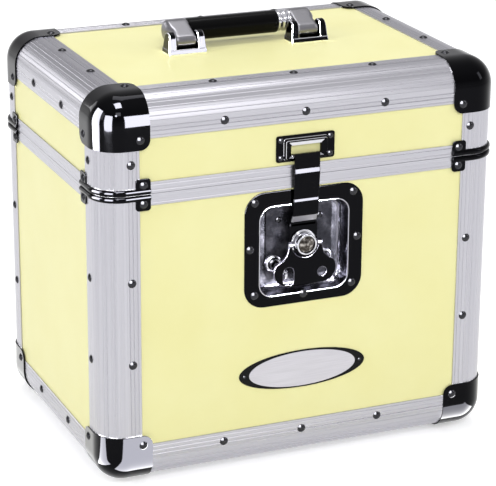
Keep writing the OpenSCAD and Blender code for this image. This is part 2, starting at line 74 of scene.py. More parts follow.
def linear(code):
    """An sRGB hex value such as "c9c8cf" as linear RGBA, by the sRGB transfer curve."""
    c = [int(code[i:i + 2], 16) / 255 for i in (0, 2, 4)]
    return tuple(v / 12.92 if v <= 0.04045 else ((v + 0.055) / 1.055) ** 2.4 for v in c) + (1.0,)


def add(tree, kind, links=(), **settings):
    """Adds one node. settings are its properties or its inputs' values, links are (input, socket)."""
    n = tree.nodes.new(kind)
    for key, value in settings.items():
        if hasattr(n, key):
            setattr(n, key, value)
        else:
            n.inputs[key.replace("_", " ").title()].default_value = value
    for where, socket in links:
        tree.links.new(socket, n.inputs[where])
    return n


def finish_of(name, **shader):
    """A new material with its Principled shader set; returns it, its node tree, the shader and the
    Object coordinates."""
    m = bpy.data.materials.new(name)
    m.use_nodes = True
    tree = m.node_tree
    bsdf = tree.nodes["Principled BSDF"]
    for key, value in shader.items():
        bsdf.inputs[key.replace("_", " ")].default_value = value
    at = add(tree, "ShaderNodeTexCoord").outputs["Object"]
    return m, tree, bsdf, at


def bumped(tree, bsdf, height, strength, distance):
    """Feeds a height to the shader's normal; distance is the relief's depth in metres."""
    b = add(tree, "ShaderNodeBump", [("Height", height)], strength=strength, distance=distance)
    tree.links.new(b.outputs["Normal"], bsdf.inputs["Normal"])


def ramp(tree, factor, stops):
    """Colour stops (place, hex) over a 0 to 1 value."""
    r = add(tree, "ShaderNodeValToRGB", [("Fac", factor)])
    e = r.color_ramp.elements
    while len(e) < len(stops):
        e.new(0.5)
    for el, (where, code) in zip(e, stops):
        el.position, el.color = where, linear(code)
    return r.outputs["Color"]


def mapped_range(tree, value, low, high):
    """A 0 to 1 value carried over to low..high."""
    return add(tree, "ShaderNodeMapRange", [("Value", value)], to_min=low, to_max=high).outputs["Result"]


def laminate(name, sawn_edges):
    """High-pressure laminate, pressed against a satin plate: an even pale yellow with a faint pearly
    orange peel about 1.5 mm across, and a trace of cloudiness in the colour over 60 mm. On an upright
    panel with sawn edges, the faces that point up or down show the brown plywood, mottled over 4 mm."""
    m, t, b, at = finish_of(name, Roughness=0.36, IOR=1.5, Specular_IOR_Level=0.24)
    cloud = add(t, "ShaderNodeTexNoise", [("Vector", at)], scale=16, detail=3.0)
    colour = ramp(t, cloud.outputs["Fac"], [(0.3, "f7f2af"), (0.7, "faf6b8")])
    if sawn_edges:
        normal = add(t, "ShaderNodeTexCoord").outputs["Normal"]
        upright = add(t, "ShaderNodeSeparateXYZ", [(0, normal)]).outputs["Z"]
        upright = add(t, "ShaderNodeMath", [(0, upright)], operation="ABSOLUTE").outputs[0]
        edge = add(t, "ShaderNodeMath", [(0, upright)], operation="ROUND").outputs[0]
        grain = add(t, "ShaderNodeTexNoise", [("Vector", at)], scale=250, detail=3.0).outputs["Fac"]
        wood = ramp(t, grain, [(0.3, "3f3122"), (0.7, "5a4732")])
        colour = add(t, "ShaderNodeMix", [(0, edge), (6, colour), (7, wood)], data_type="RGBA").outputs[2]
    t.links.new(colour, b.inputs["Base Color"])
    peel = add(t, "ShaderNodeTexNoise", [("Vector", at)], scale=650, detail=2.0)
    fine = add(t, "ShaderNodeTexNoise", [("Vector", at)], scale=2600, detail=1.0)
    both = add(t, "ShaderNodeMath", [(0, peel.outputs["Fac"]), (1, fine.outputs["Fac"])], operation="ADD")
    bumped(t, b, both.outputs[0], 0.12, 0.0002)
    t.links.new(mapped_range(t, cloud.outputs["Fac"], 0.32, 0.4), b.inputs["Roughness"])
    return m


def extruded(axis):
    """Satin anodised aluminium as it leaves the die: soft streaks of gloss and grey run the length of the
    bar, some 0.8 mm apart inside bands about 5 mm wide."""
    m, t, b, at = finish_of("anodised_aluminium_" + "xyz"[axis], Metallic=0.95, Roughness=0.3)
    stretch = [1.0, 1.0, 1.0]
    stretch[axis] = 0.004
    run = add(t, "ShaderNodeMapping", [("Vector", at)])
    run.inputs["Scale"].default_value = stretch
    lines = add(t, "ShaderNodeTexNoise", [("Vector", run.outputs[0])], scale=1250, detail=2.0)
    bands = add(t, "ShaderNodeTexNoise", [("Vector", run.outputs[0])], scale=200, detail=1.0)
    mix = add(t, "ShaderNodeMath", [(0, lines.outputs["Fac"]), (1, bands.outputs["Fac"])],
              operation="MULTIPLY")
    t.links.new(ramp(t, mix.outputs[0], [(0.14, "aeadb3"), (0.38, "b9b8be")]), b.inputs["Base Color"])
    t.links.new(mapped_range(t, mix.outputs[0], 0.24, 0.42), b.inputs["Roughness"])
    bumped(t, b, lines.outputs["Fac"], 0.06, 0.0001)
    return m


def plated(name, code, rough, smudge):
    """Plated steel: a mirror plating over pressed metal, with a slight waviness some 24 mm long and
    cloudy handling marks that only change the gloss, by smudge either way."""
    m, t, b, at = finish_of(name, Metallic=1.0, Roughness=rough)
    b.inputs["Base Color"].default_value = linear(code)
    press = add(t, "ShaderNodeTexNoise", [("Vector", at)], scale=42, detail=1.5)
    mark = add(t, "ShaderNodeTexNoise", [("Vector", at)], scale=150, detail=5.0, roughness=0.7)
    gloss = mapped_range(t, mark.outputs["Fac"], rough - smudge, rough + smudge)
    t.links.new(gloss, b.inputs["Roughness"])
    bumped(t, b, press.outputs["Fac"], 0.1, 0.0008)
    return m


def mottled(name, scale, stops):
    """Duller plating with a cloudy colour and gloss: a grey bloom some 14 mm across on the dish's
    pressed floor, and dents of 4 mm on the peened cap of the hub, whose pale patches in the colour are
    painted glints."""
    m, t, b, at = finish_of(name, Metallic=1.0, Roughness=0.28)
    bloom = add(t, "ShaderNodeTexNoise", [("Vector", at)], scale=scale, detail=6.0, roughness=0.65)
    t.links.new(ramp(t, bloom.outputs["Fac"], stops), b.inputs["Base Color"])
    t.links.new(mapped_range(t, bloom.outputs["Fac"], 0.14, 0.42), b.inputs["Roughness"])
    bumped(t, b, bloom.outputs["Fac"], 0.2, 0.0004)
    return m


def black_plastic():
    """Moulded PVC sleeve of the grip: near-black, glossy, with a very fine pebble 0.7 mm across."""
    m, t, b, at = finish_of("glossy_moulded_pvc", Roughness=0.18, IOR=1.53, Specular_IOR_Level=0.07)
    b.inputs["Base Color"].default_value = linear("050506")
    n = add(t, "ShaderNodeTexNoise", [("Vector", at)], scale=1400, detail=2.0)
    bumped(t, b, n.outputs["Fac"], 0.08, 0.0002)
    t.links.new(mapped_range(t, n.outputs["Fac"], 0.14, 0.26), b.inputs["Roughness"])
    return m


def black_rubber():
    """Moulded rubber: matt, dusty grey-black in the hollows of a 1 mm grain."""
    m, t, b, at = finish_of("moulded_rubber", Roughness=0.75, IOR=1.52)
    n = add(t, "ShaderNodeTexNoise", [("Vector", at)], scale=900, detail=3.0)
    t.links.new(ramp(t, n.outputs["Fac"], [(0.35, "1a1a1b"), (0.7, "2a2a2b")]), b.inputs["Base Color"])
    bumped(t, b, n.outputs["Fac"], 0.4, 0.0003)
    return m


def felt():
    """Needled felt lining: matt charcoal fibres tangled about 0.5 mm thick, drawn at 1.2 mm to show,
    with lighter lint and a soft sheen at grazing angles."""
    m, t, b, at = finish_of("needled_felt", Roughness=0.95, IOR=1.45, Sheen_Weight=0.35, Sheen_Roughness=0.6)
    fibre = add(t, "ShaderNodeTexNoise", [("Vector", at)], scale=820, detail=6.0, roughness=0.75,
                distortion=1.8)
    lint = add(t, "ShaderNodeTexNoise", [("Vector", at)], scale=60, detail=4.0)
    mix = add(t, "ShaderNodeMath", [(0, fibre.outputs["Fac"]), (1, lint.outputs["Fac"])],
              operation="MULTIPLY")
    greys = [(0.15, "19191b"), (0.3, "29292c"), (0.5, "434347")]
    t.links.new(ramp(t, mix.outputs[0], greys), b.inputs["Base Color"])
    bumped(t, b, fibre.outputs["Fac"], 0.7, 0.0009)
    return m


def enamel():
    """Badge border: black stoving enamel, glossy with a faint flow."""
    m, t, b, at = finish_of("black_stoving_enamel", Roughness=0.16, IOR=1.52, Specular_IOR_Level=0.12)
    b.inputs["Base Color"].default_value = linear("08080a")
    n = add(t, "ShaderNodeTexNoise", [("Vector", at)], scale=220, detail=2.0)
    bumped(t, b, n.outputs["Fac"], 0.06, 0.0003)
    return m


def brushed_plate():
    """Badge field: brushed aluminium, with grain along X about 0.4 mm apart, drawn at 0.8 mm to show."""
    m, t, b, at = finish_of("brushed_aluminium", Metallic=0.85, Roughness=0.4)
    run = add(t, "ShaderNodeMapping", [("Vector", at)])
    run.inputs["Scale"].default_value = (0.02, 1.0, 1.0)
    n = add(t, "ShaderNodeTexNoise", [("Vector", run.outputs[0])], scale=1300, detail=3.0)
    t.links.new(ramp(t, n.outputs["Fac"], [(0.3, "bdbbc1"), (0.7, "cac8ce")]), b.inputs["Base Color"])
    bumped(t, b, n.outputs["Fac"], 0.15, 0.0001)
    return m


LAMINATE = laminate("pressed_laminate", False)
EDGED = laminate("laminate_on_plywood", True)
BAR = [extruded(0), extruded(1), extruded(2)]
# Chrome given a near-black base colour: a painted dark reflection of dark surroundings; its highlights come
# from the reflector cards
DARK = plated("chrome_with_painted_dark_reflection", "131315", 0.06, 0.02)
# A mid-grey copy of the plating for the dish's wall and the wing's rolled edges and barrels: painted sheen
# and highlights
PAINTED_SHEEN = plated("plating_with_painted_sheen", "6e6d76", 0.14, 0.05)
BRIGHT = plated("bright_chrome", "c8c8cd", 0.1, 0.04)
SATIN = plated("cast_satin_chrome", "838286", 0.3, 0.06)
# Rivets darkened in their base colour: a painted dark reflection, with their highlights from their own lamp
RIVET = plated("nickelled_rivet_steel", "38383b", 0.14, 0.04)
# The same near-black painted dark reflection, on a duller chrome
DULL = plated("dull_chrome_with_painted_dark_reflection", "131315", 0.2, 0.05)
ZINC = mottled("drawn_plated_steel", 70, [(0.3, "26262b"), (0.5, "38383e"), (0.74, "64636b")])
# The pale stop of the cap's mottle paints glints on the dome
DOME = mottled("peened_cap_with_painted_glints", 260, [(0.4, "37332f"), (0.52, "5b5651"), (0.62, "b5b0aa")])
GRIP = black_plastic()
RUBBER = black_rubber()
FELT = felt()
ENAMEL = enamel()
PLATE = brushed_plate()


# ---------------------------------------------------------------- making meshes

def piece(name, verts, faces, material, body, nodes, slot="chromed_steel", angle=32, bevel=0.0,
          finish=None):
    """A mesh in mm becomes a piece of the object. material is one finish, or several with the finish of
    each face in finish; angle is the bend past which an edge stays sharp, and bevel rounds it (mm)."""
    mesh = bpy.data.meshes.new(name)
    mesh.from_pydata((np.asarray(verts, float) * MM).tolist(), [], [list(map(int, f)) for f in faces])
    for m in material if isinstance(material, list) else [material]:
        mesh.materials.append(m)
    if finish is not None:
        mesh.polygons.foreach_set("material_index", np.asarray(finish, np.int32))
    bm = bmesh.new()
    bm.from_mesh(mesh)
    bmesh.ops.remove_doubles(bm, verts=bm.verts, dist=2e-6)
    bmesh.ops.dissolve_degenerate(bm, dist=1e-6, edges=bm.edges)
    bmesh.ops.recalc_face_normals(bm, faces=bm.faces)
    bm.to_mesh(mesh)
    bm.free()
    return dressed(name, mesh, body, nodes, angle, bevel)


def dressed(name, mesh, body, nodes, angle, bevel, edge_finish=-1):
    """Gives a mesh its smooth faces, rounded edges, body and the nodes that it stands for. The last
    modifier turns the normals to the large faces, so that flat plating mirrors as a flat."""
    mesh.polygons.foreach_set("use_smooth", np.ones(len(mesh.polygons), bool))
    mesh.set_sharp_from_angle(angle=math.radians(angle))
    obj = bpy.data.objects.new(name, mesh)
    scene.collection.objects.link(obj)
    if bevel:
        mod = obj.modifiers.new("rounded_edges", "BEVEL")
        mod.width, mod.segments, mod.limit_method = bevel * MM, 3, "ANGLE"
        mod.angle_limit = math.radians(angle)
        mod.material = edge_finish
    flat = obj.modifiers.new("flat_faces", "WEIGHTED_NORMAL")
    flat.keep_sharp = True
    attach(obj, body)
    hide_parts(*nodes)
    return obj


def eased(node, material, width, angle=30, edge=None):
    """A copy of a CAD node, merged and freed of the lines across its flat faces, with its edges rounded
    and, where edge is given, painted in that brighter finish there as a highlight."""
    mesh = frame["nodes"][node].data.copy()
    mesh.materials.clear()
    mesh.materials.append(material)
    if edge:
        mesh.materials.append(edge)
    bm = bmesh.new()
    bm.from_mesh(mesh)
    bmesh.ops.remove_doubles(bm, verts=bm.verts, dist=2e-6)
    bmesh.ops.dissolve_limit(bm, angle_limit=math.radians(0.4), verts=bm.verts, edges=bm.edges)
    bm.to_mesh(mesh)
    bm.free()
    body = frame["nodes"][node]["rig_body"]
    return dressed(node + "_finished", mesh, body, [node], angle, width, 1 if edge else -1)


def grid_faces(rows, cols, closed=True, start=0):
    """Quads over rows x cols points counted row by row; closed joins each row's end to its start."""
    i, j = np.meshgrid(np.arange(rows - 1), np.arange(cols if closed else cols - 1), indexing="ij")
    a, b = i * cols + j, i * cols + (j + 1) % cols
    return np.stack([a, b, b + cols, a + cols], -1).reshape(-1, 4) + start


def joined(parts):
    """(verts, faces) pairs as one (verts, faces)."""
    verts, faces, n = [], [], 0
    for v, f in parts:
        verts.append(np.asarray(v, float).reshape(-1, 3))
        faces += [[k + n for k in face] for face in f]
        n += len(verts[-1])
    return np.concatenate(verts), faces


def lathe(profile, steps=48):
    """A profile of (along, radius) pairs turned about X: (along, radius cos a, radius sin a)."""
    p = np.asarray(profile, float)
    a = np.linspace(0, 2 * math.pi, steps, endpoint=False)
    v = np.stack([np.repeat(p[:, :1], steps, 1), p[:, 1:] * np.cos(a), p[:, 1:] * np.sin(a)], -1)
    return v.reshape(-1, 3), [list(f) for f in grid_faces(len(p), steps)]


def rounded_end(x0, x1, r, e, steps=5):
    """(along, radius) pairs of a rod from x0 to x1 with both ends rounded by e."""
    a = np.radians(np.linspace(0, 90, steps))
    start = np.stack([x0 + e * (1 - np.cos(a)), r - e * (1 - np.sin(a))], -1)
    end = np.stack([x1 - e * (1 - np.cos(a)), r - e * (1 - np.sin(a))], -1)[::-1]
    return np.concatenate([[[x0, 0.0]], start, end, [[x1, 0.0]]])


def rounded_ring(w, h, r, n=10):
    """A rounded rectangle's outline, w by h, as a loop of 4 n points: a quarter circle of radius r
    about each corner's centre, joined by straight sides."""
    a = np.linspace(0, math.pi / 2, n)
    x, y = w / 2 - r, h / 2 - r
    turns = [(x, y, 0), (-x, y, 1), (-x, -y, 2), (x, -y, 3)]
    return np.concatenate([np.stack([cx + r * np.cos(a + q * math.pi / 2),
                                     cy + r * np.sin(a + q * math.pi / 2)], -1) for cx, cy, q in turns])


def on_front(points, out):
    """(x, z) points at a distance out in front of the panel's face, in the case's frame."""
    p = np.asarray(points, float)
    return np.stack([p[:, 0], np.full(len(p), -HALF_D) - out, p[:, 1]], -1)


def standing(profile, x, z, steps=48):
    """A lathe whose axis stands on the front: (out, radius) pairs about the point x, z."""
    v, f = lathe(profile, steps)
    return np.stack([x + v[:, 1], -HALF_D - v[:, 0], z + v[:, 2]], -1), f


def swept(path, across, up, profile):
    """A closed profile of (across, up) pairs carried along a path; across and up are one vector for
    each point of the path. Returns points and faces, with both ends closed."""
    ring = path[:, None] + profile[None, :, :1] * across[:, None] + profile[None, :, 1:] * up[:, None]
    rows, cols = ring.shape[:2]
    faces = [list(f) for f in grid_faces(rows, cols)]
    faces += [list(range(cols)), [(rows - 1) * cols + k for k in range(cols)]]
    return ring.reshape(-1, 3), faces


def slab(outline, low, high):
    """A flat shape of (x, z) points on the front, from one distance out to another."""
    n = len(outline)
    verts = np.concatenate([on_front(outline, low), on_front(outline, high)])
    return verts, [list(f) for f in grid_faces(2, n)] + [list(range(n)), [n + k for k in range(n)]]


def arc(x, z, r, start, end, n=9):
    """Points on a circle about x, z from one angle to another, in degrees."""
    a = np.radians(np.linspace(start, end, n))
    return np.stack([x + r * np.cos(a), z + r * np.sin(a)], -1)


# ---------------------------------------------------------------- edge extrusions

def bar_section():
    """The extrusion's outline in mm from the corner of the panel planes: the outer arc of radius 25
    with a V groove every 9 degrees, the two legs with three grooves each, and the slots for the panels."""
    c = EDGE_R - PROUD

    def on_arc(a, depth=0.0):
        """The point a degrees round the outer arc from the first leg, sunk by a depth."""
        t = math.radians(270 - a)
        return c + (EDGE_R - depth) * math.cos(t), c + (EDGE_R - depth) * math.sin(t)

    leg = [(LEG - 0.3, -PROUD)]
    for u in (LEG - 2.5, LEG - 6.4, c + 1.6):
        leg += [(u + 0.5, -PROUD), (u, -PROUD + 0.35), (u - 0.5, -PROUD)]
    leg.append((c, -PROUD))
    bend = [on_arc(a) for a in (2.0, 4.0, 6.0)]
    for a in np.arange(9.0, 90.0, 9.0):
        bend += [on_arc(a - 0.9), on_arc(a, 0.22), on_arc(a + 0.9)]
        bend += [on_arc(a + step) for step in (3.0, 4.5, 6.0)]
    slot = c + 0.4
    inner = [(0, LEG), (0, slot), (PLY, slot), (PLY, LEG - 1.5), (PLY + PROUD, LEG - 1.5),
             (PLY + PROUD, PLY + PROUD)]
    outside = [(LEG, -PROUD + 0.3)] + leg + bend[:-3] + [(v, u) for u, v in leg[::-1]]
    return np.array(outside + [(-PROUD + 0.3, LEG)] + inner + [(v, u) for u, v in inner[-2::-1]])


def bar(corner, du, dv, dt, length):
    """The section carried along a straight line: corner + u du + v dv + t dt, closed at both ends."""
    s = bar_section()
    corner, du, dv, dt = (np.array(k, float) for k in (corner, du, dv, dt))
    ring = corner + s[:, :1] * du + s[:, 1:] * dv
    n = len(s)
    verts = np.concatenate([ring, ring + dt * length])
    return verts, [list(f) for f in grid_faces(2, n)] + [list(range(n)), list(range(2 * n - 1, n - 1, -1))]


X, Y, Z = np.eye(3)
REACH, SPLIT_GAP = LEG + 0.5, 0.1      # where a bar starts from the corner, and its gap to the split
SIDES = {"front": -1, "back": 1, "left": -1, "right": 1}

for part, z, up in (("base", Z_LOW, 1), ("lid", Z_TOP, -1)):
    for side, s in SIDES.items():
        if side in ("front", "back"):
            rail = bar((-HALF_W + REACH, s * HALF_D, z), -s * Y, up * Z, X, 2 * (HALF_W - REACH))
        else:
            rail = bar((s * HALF_W, -HALF_D + REACH, z), -s * X, up * Z, Y, 2 * (HALF_D - REACH))
        piece(f"{part}_rail_{side}_bar", *rail, BAR[0 if side in ("front", "back") else 1], part,
              [f"{part}_rail_{side}"], "anodised_aluminium", 20)

posts = [(sx, sy) for sx in (-1, 1) for sy in (-1, 1)]
low, high = Z_LOW + REACH, Z_TOP - REACH
for sx, sy in posts:
    name = ("front" if sy < 0 else "back") + ("_left" if sx < 0 else "_right")
    post = bar((sx * HALF_W, sy * HALF_D, low), -sx * X, -sy * Y, Z, Z_SPLIT - SPLIT_GAP - low)
    piece(f"base_post_{name}_bar", *post, BAR[2], "base", [f"base_post_{name}"], "anodised_aluminium", 20)
lid_bars = [bar((sx * HALF_W, sy * HALF_D, Z_SPLIT + SPLIT_GAP), -sx * X, -sy * Y, Z,
                high - Z_SPLIT - SPLIT_GAP) for sx, sy in posts]
piece("lid_post_bars", *joined(lid_bars), BAR[2], "lid", ["lid_posts"], "anodised_aluminium", 20)


# ---------------------------------------------------------------- ball corners

CORNER_REACH, CORNER_ROUND, CORNER_T = 44.8, 9.0, 1.3


def ball_patch(k):
    """One of the three faces of a ball corner, as a grid of points. Near the corner the surface is
    c - r n on a sphere, with n turning from the diagonal to the face's normal; past it the point
    moves out along the flat, and the far corner follows a quarter circle of radius 9."""
    r, c = EDGE_R + CORNER_T, EDGE_R - PROUD
    bend = np.tan(np.radians(np.linspace(45, 0, 10)))
    far = CORNER_REACH
    flat = np.concatenate([np.linspace(c, far - CORNER_ROUND, 5)[1:],
                           far - CORNER_ROUND + CORNER_ROUND * np.sin(np.radians(np.linspace(9, 90, 10)))])
    slope = np.concatenate([bend, np.zeros(len(flat))])
    reach = np.concatenate([np.full(10, c), flat])
    a, b = np.meshgrid(slope, slope, indexing="ij")
    qa, qb = np.meshgrid(reach, reach, indexing="ij")
    over = np.clip(qb - (far - CORNER_ROUND), 0, CORNER_ROUND)
    limit = far - CORNER_ROUND + np.sqrt(CORNER_ROUND ** 2 - over ** 2)
    qa = np.where(qa > c, c + (qa - c) * (limit - c) / (far - c), qa)
    n = np.stack([a, b, np.ones_like(a)], -1)
    n /= np.linalg.norm(n, axis=-1, keepdims=True)
    p = np.stack([qa, qb, np.full_like(qa, c)], -1) - r * n
    p = np.roll(p, k, axis=-1)
    return p.reshape(-1, 3), grid_faces(p.shape[0], p.shape[1], closed=False)


def ball_corners(top):
    """Four mirrored corners at the panel planes' corners."""
    verts, faces = joined([ball_patch(k) for k in range(3)])
    parts = []
    for sx, sy in posts:
        flip = np.array([-sx, -sy, -1 if top else 1])
        turned = [f[::-1] for f in faces] if np.prod(flip) < 0 else faces
        parts.append((verts * flip + [sx * HALF_W, sy * HALF_D, Z_TOP if top else Z_LOW], turned))
    part = "lid" if top else "base"
    obj = piece(f"{part}_corner_shells", *joined(parts), DARK, part, [f"{part}_ball_corners"], angle=50)
    obj.modifiers.remove(obj.modifiers["flat_faces"])
    wall = obj.modifiers.new("sheet", "SOLIDIFY")
    wall.thickness, wall.offset = (CORNER_T - 0.04) * MM, -1
    edge = obj.modifiers.new("rolled_rim", "BEVEL")
    edge.width, edge.segments, edge.limit_method, edge.angle_limit = 0.5 * MM, 3, "ANGLE", math.radians(50)


ball_corners(False)
ball_corners(True)


# ---------------------------------------------------------------- corner clamps

CLAMP_T, CLAMP_OUT, CLAMP_IN, CLAMP_TAB = 1.2, 45.0, 31.5, 12.0


def corner_line(reach):
    """Points and outward normals along a corner in plan: in from reach along one face, round a quarter
    circle of the edge's radius, and out along the other face."""
    c = EDGE_R - PROUD
    a = np.radians(np.linspace(270, 180, 25))
    turn = c + EDGE_R * np.stack([np.cos(a), np.sin(a)], -1)
    u = np.linspace(reach, c, 6)[:-1]
    first = np.stack([u, np.full(5, -PROUD)], -1)
    points = np.concatenate([first, turn, first[::-1, ::-1]])
    normals = np.concatenate([np.tile([0.0, -1.0], (5, 1)), np.stack([np.cos(a), np.sin(a)], -1),
                              np.tile([-1.0, 0.0], (5, 1))])
    return points, normals


def clamp():
    """One half of a clamp above the split, at the corner of the panel planes: a half-round bead swept
    round the corner, and a tab at each end with its free corners rounded."""
    points, normals = corner_line(CLAMP_OUT)
    path = np.column_stack([points, np.zeros(len(points))])
    outward = np.column_stack([normals, np.zeros(len(normals))])
    a = np.radians(np.linspace(-62, 90, 10))
    bead = np.stack([np.concatenate([[0.02], 0.5 + 2.0 * np.cos(a), [0.02]]),
                     np.concatenate([[0.3], 2.9 + 2.6 * np.sin(a), [5.5]])], -1)
    parts = [swept(path, outward, np.tile(Z, (len(path), 1)), bead)]
    high = 2.4 + CLAMP_TAB
    outline = np.concatenate([[(CLAMP_IN, 2.4), (CLAMP_OUT, 2.4)],
                              arc(CLAMP_OUT - 2.8, high - 2.8, 2.8, 0, 90),
                              arc(CLAMP_IN + 2.8, high - 2.8, 2.8, 90, 180)])
    n = len(outline)
    tab = np.concatenate([np.stack([outline[:, 0], np.full(n, -PROUD - out), outline[:, 1]], -1)
                          for out in (0.02, CLAMP_T)])
    tab_faces = [list(f) for f in grid_faces(2, n)] + [list(range(n)), list(range(n, 2 * n))]
    return joined(parts + [(tab, tab_faces), (tab[:, [1, 0, 2]], tab_faces)])


for part, up in (("base", -1), ("lid", 1)):
    verts, faces = clamp()
    halves = [(verts * [-sx, -sy, up] + [sx * HALF_W, sy * HALF_D, Z_SPLIT], faces) for sx, sy in posts]
    piece(f"{part}_clamp_bands", *joined(halves), DARK, part, [f"{part}_clamps"], angle=35, bevel=0.35)


# ---------------------------------------------------------------- latch dish

def latch_dish():
    """Rounded-rectangle rings (width, height, corner radius, out from the panel, centre height, finish of
    the faces to the next ring) joined one to the next: rolled flange edge, flat flange, a rounded lip,
    drafted wall, fillet and floor, and the same again behind at the sheet's thickness. The bright bands
    on the lip and low on the wall are painted highlights, and the wall's lighter plating is painted sheen."""
    dark, bright, wall, floor = range(4)
    rings = [(114.6, 107.4, 19, 0.0, DISH_Z, dark), (114.6, 107.4, 19, 0.5, DISH_Z, dark),
             (114.0, 106.8, 18.7, 0.9, DISH_Z, dark), (113.2, 106.0, 18.4, 1.0, DISH_Z, dark),
             (88.0, 85.8, 13.6, 1.0, PAN_Z, dark), (87.0, 84.8, 13.0, 1.35, PAN_Z, bright),
             (86.2, 84.0, 12.6, 1.45, PAN_Z, wall), (85.0, 82.8, 12.2, 1.2, PAN_Z, wall),
             (84.4, 82.2, 12.0, 0.4, PAN_Z, wall), (82.2, 80.0, 10.5, -DISH_DEPTH + 4.4, PAN_Z, bright),
             (81.2, 79.0, 10.2, -DISH_DEPTH + 2.6, PAN_Z, wall),
             (79.0, 76.8, 9.6, -DISH_DEPTH + 0.8, PAN_Z, wall),
             (76.0, 73.8, 8.6, -DISH_DEPTH + 0.1, PAN_Z, floor),
             (72.0, 69.8, 7.4, -DISH_DEPTH, PAN_Z, floor)]
    behind = [(73.0, 70.8, 8.4, -DISH_DEPTH - 1.2, PAN_Z), (83.0, 80.8, 11.4, -DISH_DEPTH, PAN_Z),
              (86.0, 84.0, 13, 0.0, PAN_Z)]
    loops = [on_front(rounded_ring(*ring[:3]) + [0, ring[4]], ring[3]) for ring in rings + behind]
    n, front = len(loops[0]), len(rings)
    faces = [list(f) for f in grid_faces(front, n)]
    finish = [ring[5] for ring in rings[:-1] for _ in range(n)]
    at = front * n
    backs = [list(f) for f in grid_faces(len(behind), n, start=at)]
    last = at + (len(behind) - 1) * n
    backs += [[last + k, last + (k + 1) % n, (k + 1) % n, k] for k in range(n)]
    backs.append([at + k for k in range(n)])
    faces += backs + [[at - n + k for k in range(n)]]
    finish += [dark] * len(backs) + [floor]
    return piece("latch_dish_pressing", np.concatenate(loops), faces, [DARK, BRIGHT, PAINTED_SHEEN, ZINC], "base",
                 ["latch_dish"], angle=40, finish=finish)


latch_dish()


# ---------------------------------------------------------------- latch

STRAP_W, STRAP_T = 24.3, 2.0
WING_OUT, WING_T = 3.0, 2.4     # middle of the wing's sheet out from the panel, and its thickness
PLATE_OUT = -11.0               # face of the plate on the dish's floor
KEEPER_Z = 300.3


def strap_line(rows=150):
    """The strap seen from the side, as out and up over even steps in height: straight runs with two low
    shoulders, averaged over a 2 mm window so that each bend is rounded."""
    up = np.array([16.0, 19.4, 27.4, 40.2, 42.2, 66.2, 70.6, 84.0, 84.6])
    out = np.array([-1.5, -1.5, 2.6, 4.0, 3.4, 5.8, 5.2, 5.2, 5.2])
    z = np.linspace(up[0], up[-1], rows)
    window = np.linspace(-1.0, 1.0, 9)
    return np.interp(z[:, None] + window, up, out).mean(1), z


def strap():
    """The strap's section, a rounded rectangle, carried up its line; the slanted run above the dish floor
    has the lighter satin plating, a painted reflection."""
    out, up = strap_line()
    slope = np.gradient(out, up)
    length = np.sqrt(1 + slope ** 2)
    path = np.stack([np.zeros_like(up), -HALF_D - out, HUB_Z + up], -1)
    normal = np.stack([np.zeros_like(up), -1 / length, -slope / length], -1)
    section = rounded_ring(STRAP_W, STRAP_T, 0.8, 5)
    verts, faces = swept(path, np.tile(X, (len(up), 1)), normal, section)
    # Rows of the slanted run, in the satin plating as a painted reflection
    painted_reflection_band = np.repeat((up[:-1] > 20.6) & (up[:-1] < 26.4), len(section)).astype(int)
    return verts, faces, np.concatenate([painted_reflection_band, [0, 0]])


def hook_foot():
    """The flat foot of the strap: a tab with round shoulders and a slot for the shaft, open downwards."""
    w, low, high, shoulder, slot = 13.4, -9.0, 20.4, 4.5, 5.4
    right = np.concatenate([[(w, low)], arc(w - shoulder, high - shoulder, shoulder, 0, 90)])
    around = [right, right[::-1] * [-1, 1], [(-slot, low)], arc(0, 0, slot, 180, 0, 17), [(slot, low)]]
    return slab(np.concatenate(around) + [0, HUB_Z], -2.5, -0.5)


def collar():
    """The pressed arch over the shaft: a low half-round rib carried up one leg, round a half circle of
    radius 10.4 and down the other leg."""
    r, a = 10.4, np.radians(np.linspace(180, 0, 33))
    legs = np.linspace(-6, -0.5, 5)
    x = np.concatenate([np.full(5, -r), r * np.cos(a), np.full(5, r)])
    z = np.concatenate([legs, r * np.sin(a), legs[::-1]])
    side = np.concatenate([np.tile([-1.0, 0.0], (5, 1)), np.stack([np.cos(a), np.sin(a)], -1),
                           np.tile([1.0, 0.0], (5, 1))])
    path = np.stack([x, np.full(len(x), -HALF_D + 0.55), HUB_Z + z], -1)
    across = np.stack([side[:, 0], np.zeros(len(x)), side[:, 1]], -1)
    t = np.radians(np.linspace(0, 180, 9))
    return swept(path, across, np.tile(-Y, (len(x), 1)), np.stack([1.5 * np.cos(t), 0.68 * np.sin(t)], -1))


verts, faces, finish = strap()
# The satin plating on the strap's slanted run is a painted reflection
piece("latch_hook_strap", verts, faces, [DARK, SATIN], "hook", ["latch_hook"], angle=50, finish=finish)
# The collar is bright chrome while the strap and foot are dark: a painted highlight along the pressed rib
for name, (verts, faces), material, edge in (("latch_hook_foot", hook_foot(), DARK, 0.5),
                                             ("latch_hook_collar", collar(), BRIGHT, 0.0)):
    piece(name, verts, faces, material, "hook", ["latch_hook"], angle=40, bevel=edge)


